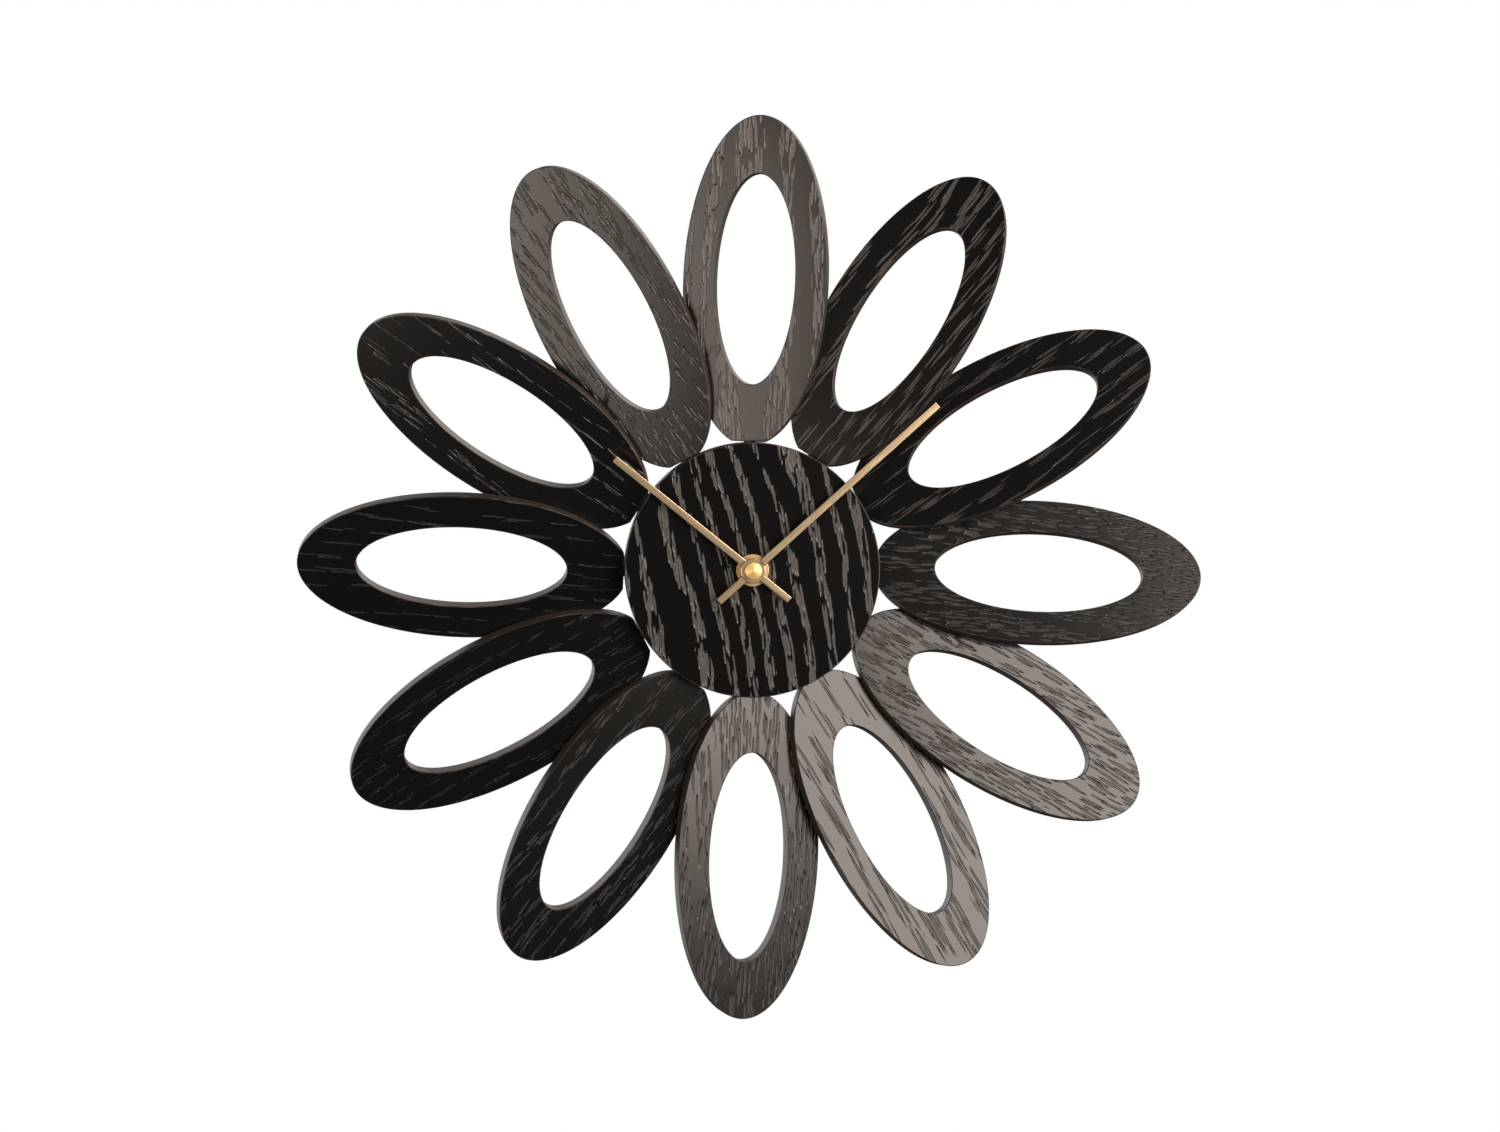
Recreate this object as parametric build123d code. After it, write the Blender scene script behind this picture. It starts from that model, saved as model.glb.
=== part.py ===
from build123d import *
import os
from math import cos, radians, sin

# Wall clock with a flower of twelve tilted wooden rings round a wooden dial,
# driven by a battery quartz movement. Millimetres. The clock hangs on a wall
# at y = 0, faces -Y and has +Z up; the hands turn about the Y axis.
# A "depth" is a distance in front of the wall, so y = -depth.

# ---- flower -----------------------------------------------------------------
PETALS = 12
PETAL_STEP = 360 / PETALS
PETAL_CENTRE_RADIUS = 126.8     # hand axis to the middle of a petal
PETAL_HALF_LENGTH = 72.5
PETAL_HALF_WIDTH = 31.8
PETAL_THICKNESS = 9.0
HOLE_HALF_LENGTH = 46.15
HOLE_HALF_WIDTH = 17.8
HOLE_OFFSET = 0.7               # hole centre further out than the petal centre
PETAL_TILT = 10.7               # about its length, clockwise edge to the front
PETAL_PITCH = 2.25              # outer end to the front
PETAL_SKEW = 1.35               # in its own plane, clockwise
FLOWER_TURN = 0.95              # the whole flower, clockwise
PETAL_DEPTH = 13.5              # middle of a petal in front of the wall
GLUE_GAP = 0.1
ROOT_GAP = 0.3                  # between a petal's square root and the hub's rim

# ---- dial and hub -----------------------------------------------------------
DIAL_RADIUS = 56.0
DIAL_BACK = 16.5
DIAL_FRONT = 25.5
DIAL_HOLE_RADIUS = 4.1
HUB_BACK = 4.5
POCKET_SIDE = 57.0
POCKET_CORNER = 3.5
HANGER_SLOT_WIDTH = 27.0
HANGER_SLOT_TOP = 39.5

# ---- dowels that pin the petal roots to the hub -----------------------------
DOWEL_RADIUS = 2.5
DOWEL_LENGTH = 24.0
DOWEL_FIT = 0.05

# ---- movement case ----------------------------------------------------------
CASE_SIDE = 56.0
CASE_CORNER = 3.0
CASE_WALL = 1.2
CASE_FRONT = 15.7
CASE_SPLIT = 8.0
CASE_INNER = CASE_SIDE / 2 - CASE_WALL
CASE_FLOOR = CASE_WALL                      # inside of the back wall
CASE_CEILING = CASE_FRONT - CASE_WALL       # inside of the front wall
BAY_TOP = -9.8                              # top of the battery bay's wall
BAY_WALL = 1.0
BAY_WALL_HALF = 25.4

# ---- battery ----------------------------------------------------------------
CELL_RADIUS = 7.1
CELL_DEPTH = 7.3
CELL_HEIGHT = -18.6
CELL_FLAT_END = 25.2
CELL_SHOULDER = -24.1
CELL_TIP = -25.3
CELL_TIP_RADIUS = 2.6

# ---- gear train: teeth and centre distances ---------------------------------
PINION = 8
FIFTH_TEETH, FOURTH_TEETH, THIRD_TEETH, CENTRE_TEETH = 48, 40, 64, 60
CANNON_TEETH, SETTING_TEETH, SETTING_PINION, HOUR_TEETH = 12, 36, 10, 40
FIFTH_TO_CENTRE = 6.0
ROTOR_TO_FIFTH = 5.6
THIRD_TO_CENTRE = 9.0
SETTING_TO_CENTRE = 8.4
SEEN_ANGLE = {"fifth": 30, "rotor": 45, "third": 150, "setting": -15, "knob": 0}

# ---- arbors -----------------------------------------------------------------
ARBOR_RADIUS = 0.5
PIVOT_RADIUS = 0.3
PIVOT_HOLE_RADIUS = 0.35
PLATE_BACK, PLATE_FRONT = 8.2, 9.2
STUD_RADIUS = 0.9               # stud that the setting wheel turns on
THIRD_PINION_HOLE = 1.7         # clears the third wheel's pinion in the train plate
MINUTE_ARBOR_RADIUS = 1.7
HOUR_TUBE_RADIUS = 2.5
BUSH_BORE_RADIUS = 2.56
BUSH_RADIUS = 3.95
BUSH_FRONT = 28.2

# ---- hands ------------------------------------------------------------------
MINUTE_ANGLE = 48.1             # clockwise from twelve o'clock
HOUR_ANGLE = 309.0
MINUTE_HAND = {"reach": 108.5, "tail": 20.3, "width": 3.2, "back": 30.7, "front": 31.5}
HOUR_HAND = {"reach": 77.8, "tail": 20.7, "width": 3.05, "back": 28.8, "front": 29.6}
HAND_HUB_RADIUS = 5.4
CAP_RADIUS = 3.7
CAP_RIM = 33.2
CAP_TOP = 34.0


# ---- helpers ----------------------------------------------------------------
def at(depth):
    """Plane parallel to the wall whose x is right, y is up and z is to the front."""
    return Plane.XZ.offset(depth)


def slab(sketch, back, front):
    """Solid between two depths with a flat outline."""
    return extrude(at(back) * sketch, front - back)


def round_bar(radius, back, front, x=0, z=0):
    """Cylinder square to the wall."""
    return slab(Pos(x, z) * Circle(radius), back, front)


def block(x0, x1, z0, z1, back, front):
    """Box given by its sides."""
    outline = Pos((x0 + x1) / 2, (z0 + z1) / 2) * Rectangle(x1 - x0, z1 - z0)
    return slab(outline, back, front)


def polar(distance, angle, x=0, z=0):
    """Point at a distance and an anticlockwise angle from +X, seen from the front."""
    return (x + distance * cos(radians(angle)), z + distance * sin(radians(angle)))


FIFTH = polar(FIFTH_TO_CENTRE, SEEN_ANGLE["fifth"])
ROTOR = polar(ROTOR_TO_FIFTH, SEEN_ANGLE["rotor"], *FIFTH)
THIRD = polar(THIRD_TO_CENTRE, SEEN_ANGLE["third"])
SETTING = polar(SETTING_TO_CENTRE, SEEN_ANGLE["setting"])
KNOB = polar(SETTING_TO_CENTRE, SEEN_ANGLE["knob"], *SETTING)


def module_for(distance, teeth_a, teeth_b):
    return 2 * distance / (teeth_a + teeth_b)


def meshed_phase(driver_teeth, driver_phase, driven_teeth, direction):
    """Angle of a tooth of the driven gear that puts it in mesh with the driver.

    direction is the angle from the driver's axis to the driven gear's axis.
    """
    lead = (driver_phase - direction) * driver_teeth / driven_teeth
    return direction + 180 - lead + 180 / driven_teeth


def gear(teeth, module, back, front, centre=(0, 0), phase=0.0):
    """Straight-flanked gear with backlash; phase is the angle of its first tooth."""
    pitch_radius = teeth * module / 2
    root = pitch_radius - 1.25 * module
    tip = pitch_radius + 0.75 * module
    pitch_angle = 360 / teeth
    corners = []
    for tooth in range(teeth):
        middle = phase + tooth * pitch_angle
        for radius, share in ((root, -0.29), (tip, -0.12), (tip, 0.12), (root, 0.29)):
            corners.append(polar(radius, middle + share * pitch_angle))
    outline = make_face(Polyline(*corners, close=True))
    return slab(Pos(*centre) * outline, back, front)


# ---- wooden parts -----------------------------------------------------------
def petal_place(index):
    """Frame of one petal: z along its length outwards, -y out of its front face."""
    hung = Pos(0, -PETAL_DEPTH, 0) * Rot(0, FLOWER_TURN + PETAL_STEP * index, 0)
    return hung * Pos(0, 0, PETAL_CENTRE_RADIUS) * Rot(0, PETAL_SKEW, 0) \
        * Rot(PETAL_PITCH, 0, 0) * Rot(0, 0, -PETAL_TILT)


def petal_plate(grow=0.0):
    """Elliptical plate lying in its own XZ plane."""
    outline = Ellipse(PETAL_HALF_WIDTH + grow, PETAL_HALF_LENGTH + grow)
    half = PETAL_THICKNESS / 2 + grow
    return extrude(Plane.XZ.offset(-half) * outline, 2 * half)


def root_height():
    """Where a petal is sawn off square, along its length."""
    return DIAL_RADIUS + ROOT_GAP - PETAL_CENTRE_RADIUS


def dowel(radius, length):
    """Dowel in a petal's frame, half in the petal and half in the hub."""
    return Pos(0, 0, root_height()) * Cylinder(radius, length)


def first_petal():
    """The twelve o'clock petal; the others are this one turned about the hand axis."""
    plate = petal_plate()
    hole = Pos(0, 0, HOLE_OFFSET) * extrude(
        Plane.XZ.offset(-PETAL_THICKNESS) * Ellipse(HOLE_HALF_WIDTH, HOLE_HALF_LENGTH),
        2 * PETAL_THICKNESS)
    stub = Pos(0, 0, root_height() - PETAL_HALF_WIDTH) * Box(
        2 * PETAL_HALF_WIDTH, 2 * PETAL_THICKNESS, 2 * PETAL_HALF_WIDTH)
    ring = plate - hole - stub
    ring -= dowel(DOWEL_RADIUS + DOWEL_FIT, DOWEL_LENGTH + 2 * DOWEL_FIT)
    rebate = petal_place(-1) * petal_plate(GLUE_GAP)
    return (petal_place(0) * ring - rebate).solids().sort_by(SortBy.VOLUME)[-1]


def petals():
    base = first_petal()
    return {f"petal_{i + 1:02d}": Rot(0, PETAL_STEP * i, 0) * base for i in range(PETALS)}


def root_dowels():
    return Compound([petal_place(i) * dowel(DOWEL_RADIUS, DOWEL_LENGTH) for i in range(PETALS)])


def hub_ring():
    """Ring behind the dial that holds the petals and clears the movement."""
    ring = round_bar(DIAL_RADIUS, HUB_BACK, DIAL_BACK)
    pocket = RectangleRounded(POCKET_SIDE, POCKET_SIDE, POCKET_CORNER)
    ring -= slab(pocket, HUB_BACK, DIAL_BACK)
    half = HANGER_SLOT_WIDTH / 2
    ring -= block(-half, half, 0, HANGER_SLOT_TOP, HUB_BACK, DIAL_BACK)
    for i in range(PETALS):
        ring -= petal_place(i) * dowel(DOWEL_RADIUS + DOWEL_FIT, DOWEL_LENGTH + 2 * DOWEL_FIT)
    return ring


def dial_disc():
    return round_bar(DIAL_RADIUS, DIAL_BACK, DIAL_FRONT) \
        - round_bar(DIAL_HOLE_RADIUS, DIAL_BACK, DIAL_FRONT)


# ---- movement case ----------------------------------------------------------
POSTS = [(-15.5, -7.0), (22.5, -7.6), (19.5, 10.5), (-15.5, 11.2)]
POST_RADIUS = 1.5
KNOB_HEAD_RADIUS = 5.5
KNOB_HEAD_BACK, KNOB_HEAD_FRONT = 0.4, 3.2
WELL_RADIUS = 6.0
WELL_WALL = 0.8
WELL_FLOOR = 3.6
KNOB_SHAFT_RADIUS = 1.0
SHAFT_FIT = 0.05
HANGER_BOTTOM, HANGER_TOP = 23.6, 38.0
HANGER_HALF_WIDTH = 12.0
HANGER_THICKNESS = 1.2
HANGER_HOLE_RADIUS = 3.25
HANGER_HOLE_HEIGHT = 33.0
RIVETS = [(-8.5, 25.8), (8.5, 25.8)]
RIVET_RADIUS = 1.0


def case_walls(back, front):
    """Four side walls of the case and the battery bay's wall between two depths."""
    outer = RectangleRounded(CASE_SIDE, CASE_SIDE, CASE_CORNER)
    inner = RectangleRounded(2 * CASE_INNER, 2 * CASE_INNER, CASE_CORNER - CASE_WALL)
    bay_wall = block(-BAY_WALL_HALF, BAY_WALL_HALF, BAY_TOP - BAY_WALL, BAY_TOP, back, front)
    return slab(outer, back, front) - slab(inner, back, front) + bay_wall


def rear_case():
    """Back half of the case: open battery bay, knob well, hanger seat and bearings."""
    case = slab(RectangleRounded(CASE_SIDE, CASE_SIDE, CASE_CORNER), 0, CASE_FLOOR)
    case += case_walls(CASE_FLOOR, CASE_SPLIT)
    case -= block(-CASE_INNER, CASE_INNER, -CASE_INNER, BAY_TOP - BAY_WALL, 0, CASE_FLOOR)
    case += round_bar(WELL_RADIUS + WELL_WALL, CASE_FLOOR, WELL_FLOOR + WELL_WALL, *KNOB)
    case -= round_bar(WELL_RADIUS, 0, WELL_FLOOR, *KNOB)
    case -= round_bar(KNOB_SHAFT_RADIUS + SHAFT_FIT, 0, CASE_SPLIT, *KNOB)
    for x, z in POSTS:
        case += round_bar(POST_RADIUS, CASE_FLOOR, PLATE_BACK, x, z)
    for x, z in (FIFTH, ROTOR, THIRD, (0, 0)):
        case += round_bar(3 * ARBOR_RADIUS, CASE_FLOOR, 2.0, x, z)
        case -= round_bar(PIVOT_HOLE_RADIUS, 1.0, 2.0, x, z)
    seat_half = HANGER_HALF_WIDTH + CASE_WALL
    case += block(-seat_half, seat_half, HANGER_BOTTOM - CASE_WALL, CASE_INNER,
                  CASE_FLOOR, HANGER_THICKNESS + CASE_WALL)
    case -= block(-HANGER_HALF_WIDTH, HANGER_HALF_WIDTH, HANGER_BOTTOM, CASE_SIDE,
                  0, HANGER_THICKNESS)
    for x, z in RIVETS:
        case += round_bar(RIVET_RADIUS, 0.2, HANGER_THICKNESS, x, z)
    return case


def front_case():
    """Front half of the case: front wall, side walls, posts and the wheel stud."""
    case = slab(RectangleRounded(CASE_SIDE, CASE_SIDE, CASE_CORNER), CASE_CEILING, CASE_FRONT)
    case += case_walls(CASE_SPLIT, CASE_CEILING)
    for x, z in POSTS:
        case += round_bar(POST_RADIUS, PLATE_FRONT, CASE_CEILING, x, z)
    case += round_bar(STUD_RADIUS, 10.6, CASE_CEILING, *SETTING)
    case += round_bar(3 * ARBOR_RADIUS, 13.7, CASE_CEILING, *THIRD)
    case -= round_bar(PIVOT_HOLE_RADIUS, 13.7, 14.8, *THIRD)
    case += round_bar(3 * ARBOR_RADIUS, 13.2, CASE_CEILING, *KNOB)
    case -= round_bar(PIVOT_HOLE_RADIUS, 13.2, 14.4, *KNOB)
    case -= round_bar(BUSH_RADIUS, CASE_CEILING, CASE_FRONT)
    return case


def train_plate():
    """Plate between the case halves that carries the inner ends of the arbors."""
    plate = block(-17.4, 24.4, -9.5, 13.1, PLATE_BACK, PLATE_FRONT)
    plate = fillet(plate.edges().filter_by(Axis.Y), 1.5)
    for x, z in (FIFTH, ROTOR, (0, 0)):
        plate -= round_bar(PIVOT_HOLE_RADIUS, PLATE_BACK, PLATE_FRONT, x, z)
    plate -= round_bar(THIRD_PINION_HOLE, PLATE_BACK, PLATE_FRONT, *THIRD)
    plate -= round_bar(KNOB_SHAFT_RADIUS + 3 * SHAFT_FIT, PLATE_BACK, PLATE_FRONT, *KNOB)
    return plate


def hanger_plate():
    """Steel hanger seated in the top of the back wall, with the hole for the wall hook."""
    waist = HANGER_HALF_WIDTH - SHAFT_FIT
    plate = block(-waist, waist, HANGER_BOTTOM + SHAFT_FIT, HANGER_TOP, 0, HANGER_THICKNESS)
    top = plate.edges().filter_by(Axis.Y).sort_by(Axis.Z)[-2:]
    plate = fillet(top, 7.0)
    plate -= round_bar(HANGER_HOLE_RADIUS, 0, HANGER_THICKNESS, 0, HANGER_HOLE_HEIGHT)
    for x, z in RIVETS:
        plate -= round_bar(RIVET_RADIUS + SHAFT_FIT, 0, HANGER_THICKNESS, x, z)
    return plate


# ---- what fastens the movement to the dial ----------------------------------
def threaded_bush():
    """Brass bush with a flange inside the case and the thread through the dial."""
    bush = round_bar(BUSH_RADIUS, CASE_CEILING, BUSH_FRONT)
    bush += round_bar(6.0, 13.5, CASE_CEILING)
    bush = chamfer(bush.edges().filter_by(GeomType.CIRCLE).sort_by(Axis.Y)[0], 0.3)
    return bush - round_bar(BUSH_BORE_RADIUS, 13.5, BUSH_FRONT)


def rubber_gasket():
    return round_bar(11.0, CASE_FRONT, DIAL_BACK) - round_bar(4.0, CASE_FRONT, DIAL_BACK)


def dial_washer():
    washer = round_bar(7.1, DIAL_FRONT, DIAL_FRONT + 0.6)
    washer = chamfer(washer.edges().sort_by(Axis.Y)[0], 0.2)
    return washer - round_bar(4.05, DIAL_FRONT, DIAL_FRONT + 0.6)


def dial_nut():
    """Round nut with two key slots across its face."""
    back, front = DIAL_FRONT + 0.6, DIAL_FRONT + 2.4
    nut = round_bar(5.9, back, front)
    nut = chamfer(nut.edges().sort_by(Axis.Y)[0], 0.35)
    nut -= round_bar(BUSH_RADIUS + 0.03, back, front)
    return nut - block(-7, 7, -0.7, 0.7, front - 0.8, front)


# ---- battery and electronics ------------------------------------------------
def along_x(radius, x0, x1, z, depth):
    """Cylinder lying level across the clock."""
    return Pos((x0 + x1) / 2, -depth, z) * Rot(0, 90, 0) * Cylinder(radius, x1 - x0)


def battery_cell():
    cell = along_x(CELL_RADIUS, CELL_SHOULDER, CELL_FLAT_END, CELL_HEIGHT, CELL_DEPTH)
    cell = fillet(cell.edges().filter_by(GeomType.CIRCLE), 0.6)
    return cell + along_x(CELL_TIP_RADIUS, CELL_TIP, CELL_SHOULDER, CELL_HEIGHT, CELL_DEPTH)


def strip(points, back, front, thickness=0.3):
    """Bent contact strip that follows points in the front view."""
    return slab(trace(Polyline(*points), thickness), back, front)


def negative_contact():
    """Leaf at the cell's flat end, carried over the bay wall to the board."""
    route = [(26.0, -23.0), (25.5, -18.6), (26.2, -13.0), (26.2, -9.5), (-26.3, -9.5), (-26.3, 15.0)]
    return strip(route, 11.6, 13.6)


def positive_contact():
    """Leaf at the cell's raised end, carried up the side wall to the board."""
    return strip([(-26.0, -23.0), (-25.6, -18.6), (-26.3, -13.0), (-26.3, 15.0)], 5.0, 9.6)


BOARD_BACK, BOARD_FRONT = 9.8, 10.8


def circuit_board():
    return block(-26.0, -11.0, 15.2, 26.0, BOARD_BACK, BOARD_FRONT)


def driver_chip():
    """Blob of resin over the driver chip."""
    dome = round_bar(2.4, BOARD_BACK - 0.9, BOARD_BACK, -15.5, 21.5)
    return fillet(dome.edges().sort_by(Axis.Y)[-1], 0.7)


def quartz_crystal():
    can = along_x(1.0, -24.6, -18.6, 18.0, BOARD_BACK - 1.05)
    return fillet(can.edges().filter_by(GeomType.CIRCLE), 0.25)


COIL_LEFT, COIL_RIGHT = -6.8, 14.2
COIL_HEIGHT, COIL_DEPTH = 20.4, 6.9
CORE_BACK, CORE_FRONT = 6.4, 7.4
STATOR_BACK = 5.4
MAGNET_RADIUS = 3.0
STATOR_HOLE_RADIUS = 3.5


def coil_bobbin():
    """Flanged bobbin with a flat window for the core."""
    bobbin = along_x(2.2, COIL_LEFT, COIL_RIGHT, COIL_HEIGHT, COIL_DEPTH)
    bobbin += along_x(4.3, COIL_LEFT, COIL_LEFT + 1.0, COIL_HEIGHT, COIL_DEPTH)
    bobbin += along_x(4.3, COIL_RIGHT - 1.0, COIL_RIGHT, COIL_HEIGHT, COIL_DEPTH)
    return bobbin - block(COIL_LEFT, COIL_RIGHT, COIL_HEIGHT - 1.25, COIL_HEIGHT + 1.25,
                          CORE_BACK - 0.05, CORE_FRONT + 0.05)


def coil_winding():
    left, right = COIL_LEFT + 1.05, COIL_RIGHT - 1.05
    return along_x(3.9, left, right, COIL_HEIGHT, COIL_DEPTH) \
        - along_x(2.25, left, right, COIL_HEIGHT, COIL_DEPTH)


def coil_core():
    """Soft iron bar through the bobbin, wide at the ends where it meets the stator."""
    bar = block(COIL_LEFT - 3.0, COIL_RIGHT + 3.0, COIL_HEIGHT - 1.2, COIL_HEIGHT + 1.2,
                CORE_BACK, CORE_FRONT)
    for x in (COIL_LEFT - 1.6, COIL_RIGHT + 1.6):
        bar += block(x - 1.4, x + 1.4, COIL_HEIGHT - 2.0, COIL_HEIGHT + 2.0, CORE_BACK, CORE_FRONT)
    return bar


def stator_plate():
    """Soft iron plate from the coil's ends to the hole that the rotor turns in."""
    x, z = ROTOR
    left, right = COIL_LEFT - 3.0, COIL_RIGHT + 3.0
    top = COIL_HEIGHT + 2.0
    plate = block(left, left + 2.8, 13.4, top, STATOR_BACK, CORE_BACK)
    plate += block(left, x, 13.4, 15.6, STATOR_BACK, CORE_BACK)
    plate += block(right - 2.8, right, z - 2.0, top, STATOR_BACK, CORE_BACK)
    plate += block(x, right, z - 2.0, z + 2.0, STATOR_BACK, CORE_BACK)
    plate += block(x - 2.4, x + 2.4, z, 15.6, STATOR_BACK, CORE_BACK)
    plate += round_bar(5.0, STATOR_BACK, CORE_BACK, x, z)
    return plate - round_bar(STATOR_HOLE_RADIUS, STATOR_BACK, CORE_BACK, x, z)


# ---- wheels -----------------------------------------------------------------
M_ROTOR = module_for(ROTOR_TO_FIFTH, PINION, FIFTH_TEETH)
M_FIFTH = module_for(FIFTH_TO_CENTRE, PINION, FOURTH_TEETH)
M_FOURTH = module_for(THIRD_TO_CENTRE, PINION, THIRD_TEETH)
M_THIRD = module_for(THIRD_TO_CENTRE, PINION, CENTRE_TEETH)
M_CANNON = module_for(SETTING_TO_CENTRE, CANNON_TEETH, SETTING_TEETH)
M_HOUR = module_for(SETTING_TO_CENTRE, SETTING_PINION, HOUR_TEETH)


def arbor(x, z, back_pivot, back, front, front_pivot):
    """Arbor with a thin pivot at each end."""
    return round_bar(ARBOR_RADIUS, back, front, x, z) \
        + round_bar(PIVOT_RADIUS, back_pivot, front_pivot, x, z)


def rotor_pinion():
    """Rotor arbor with its eight-leaf pinion and the seat of the magnet."""
    body = arbor(*ROTOR, 1.1, 2.1, 8.1, 8.9)
    body += gear(PINION, M_ROTOR, 3.9, 5.1, ROTOR, 0)
    return body + round_bar(1.2, 5.1, 7.9, *ROTOR)


def rotor_magnet():
    return round_bar(MAGNET_RADIUS, 5.3, 7.7, *ROTOR) - round_bar(1.2, 5.3, 7.7, *ROTOR)


FIFTH_PHASE = meshed_phase(PINION, 0, FIFTH_TEETH, SEEN_ANGLE["rotor"] + 180)
FOURTH_PHASE = meshed_phase(PINION, 0, FOURTH_TEETH, SEEN_ANGLE["fifth"] + 180)
THIRD_PHASE = meshed_phase(PINION, 0, THIRD_TEETH, SEEN_ANGLE["third"])
CENTRE_PHASE = meshed_phase(PINION, 0, CENTRE_TEETH, SEEN_ANGLE["third"] + 180)
SETTING_PHASE = meshed_phase(CANNON_TEETH, 0, SETTING_TEETH, SEEN_ANGLE["setting"])
KNOB_PHASE = meshed_phase(SETTING_TEETH, SETTING_PHASE, CANNON_TEETH, SEEN_ANGLE["knob"])
HOUR_PHASE = meshed_phase(SETTING_PINION, 0, HOUR_TEETH, SEEN_ANGLE["setting"] + 180)


def fifth_wheel():
    body = arbor(*FIFTH, 1.1, 2.1, 8.1, 8.9)
    body += gear(PINION, M_FIFTH, 2.4, 3.7, FIFTH, 0)
    return body + gear(FIFTH_TEETH, M_ROTOR, 4.2, 4.9, FIFTH, FIFTH_PHASE)


def fourth_wheel():
    body = arbor(0, 0, 1.1, 2.1, 8.1, 8.6)
    body += gear(FOURTH_TEETH, M_FIFTH, 2.7, 3.4, (0, 0), FOURTH_PHASE)
    return body + gear(PINION, M_FOURTH, 5.6, 7.2, (0, 0), 0)


def third_wheel():
    body = arbor(*THIRD, 1.1, 2.1, 13.5, 14.6)
    body += gear(THIRD_TEETH, M_FOURTH, 6.0, 6.7, THIRD, THIRD_PHASE)
    return body + gear(PINION, M_THIRD, 9.4, 10.5, THIRD, 0)


def centre_wheel():
    """Wheel that drives the minute arbor through a friction fit on its tail."""
    wheel = gear(CENTRE_TEETH, M_THIRD, 9.6, 10.3, (0, 0), CENTRE_PHASE)
    return wheel - round_bar(1.53, 9.6, 10.3)


def minute_arbor():
    """Arbor of the minute hand with its twelve-leaf cannon pinion."""
    body = round_bar(1.5, 9.3, 10.6) + round_bar(PIVOT_RADIUS, 8.75, 9.3)
    body += gear(CANNON_TEETH, M_CANNON, 10.6, 11.9)
    body += round_bar(MINUTE_ARBOR_RADIUS, 11.9, MINUTE_HAND["back"])
    return body + round_bar(1.2, MINUTE_HAND["back"], 33.0)


def setting_wheel():
    """Wheel and pinion that step the minute arbor down to the hour wheel."""
    wheel = gear(SETTING_TEETH, M_CANNON, 10.8, 11.7, SETTING, SETTING_PHASE)
    wheel += gear(SETTING_PINION, M_HOUR, 11.7, 13.1, SETTING, 0)
    return wheel - round_bar(STUD_RADIUS + SHAFT_FIT, 10.8, 13.1, *SETTING)


def hour_wheel():
    """Forty-tooth wheel on the tube that carries the hour hand."""
    wheel = gear(HOUR_TEETH, M_HOUR, 12.2, 13.0, (0, 0), HOUR_PHASE)
    wheel += round_bar(HOUR_TUBE_RADIUS, 12.2, HOUR_HAND["front"])
    return wheel - round_bar(MINUTE_ARBOR_RADIUS + 0.06, 12.2, HOUR_HAND["front"])


def setting_knob():
    """Ribbed knob in the back well, with the pinion that turns the setting wheel."""
    x, z = KNOB
    head = round_bar(KNOB_HEAD_RADIUS, KNOB_HEAD_BACK, KNOB_HEAD_FRONT, x, z)
    for rib in range(24):
        notch = polar(KNOB_HEAD_RADIUS + 0.1, rib * 15, x, z)
        head -= round_bar(0.35, KNOB_HEAD_BACK, KNOB_HEAD_FRONT, *notch)
    body = head + round_bar(KNOB_SHAFT_RADIUS, KNOB_HEAD_FRONT, 10.8, x, z)
    body += gear(CANNON_TEETH, M_CANNON, 10.8, 11.7, KNOB, KNOB_PHASE)
    body += round_bar(ARBOR_RADIUS, 11.7, 13.0, x, z)
    return body + round_bar(PIVOT_RADIUS, 13.0, 14.2, x, z)


# ---- hands ------------------------------------------------------------------
def hand(size, angle, bore):
    """Flat hand with a round boss, square ends and a bevel along its front edges."""
    length = size["reach"] + size["tail"]
    blade = Pos(0, (size["reach"] - size["tail"]) / 2) * Rectangle(size["width"], length)
    blank = slab(blade + Circle(HAND_HUB_RADIUS), size["back"], size["front"])
    front_edges = blank.faces().sort_by(Axis.Y)[0].edges()
    blank = chamfer(front_edges, 0.3)
    blank -= round_bar(bore, size["back"], size["front"])
    return Rot(0, angle, 0) * blank


def hour_hand():
    return hand(HOUR_HAND, HOUR_ANGLE, HOUR_TUBE_RADIUS + 0.01)


def minute_hand():
    return hand(MINUTE_HAND, MINUTE_ANGLE, 1.21)


def hand_cap():
    """Turned cap nut: a drum with a shallow cone on its face."""
    back = MINUTE_HAND["front"]
    cap = round_bar(CAP_RADIUS, back, CAP_RIM)
    cap = chamfer(cap.edges().sort_by(Axis.Y)[0], 0.25)
    tip = Pos(0, -(CAP_RIM + CAP_TOP) / 2, 0) * Rot(90, 0, 0) \
        * Cone(CAP_RADIUS - 0.25, 0.15, CAP_TOP - CAP_RIM)
    return cap + tip - round_bar(1.21, back, 33.0)


NODES = {
    "dial_disc": dial_disc,
    "hub_ring": hub_ring,
    "root_dowels": root_dowels,
    "movement_rear_case": rear_case,
    "movement_front_case": front_case,
    "train_plate": train_plate,
    "hanger_plate": hanger_plate,
    "threaded_bush": threaded_bush,
    "rubber_gasket": rubber_gasket,
    "dial_washer": dial_washer,
    "dial_nut": dial_nut,
    "battery_cell": battery_cell,
    "battery_contact_negative": negative_contact,
    "battery_contact_positive": positive_contact,
    "circuit_board": circuit_board,
    "driver_chip": driver_chip,
    "quartz_crystal": quartz_crystal,
    "coil_bobbin": coil_bobbin,
    "coil_winding": coil_winding,
    "coil_core": coil_core,
    "stator_plate": stator_plate,
    "rotor_pinion": rotor_pinion,
    "rotor_magnet": rotor_magnet,
    "fifth_wheel": fifth_wheel,
    "fourth_wheel": fourth_wheel,
    "third_wheel": third_wheel,
    "centre_wheel": centre_wheel,
    "minute_arbor": minute_arbor,
    "setting_wheel": setting_wheel,
    "hour_wheel": hour_wheel,
    "setting_knob": setting_knob,
    "hour_hand": hour_hand,
    "minute_hand": minute_hand,
    "hand_cap": hand_cap,
}


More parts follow.
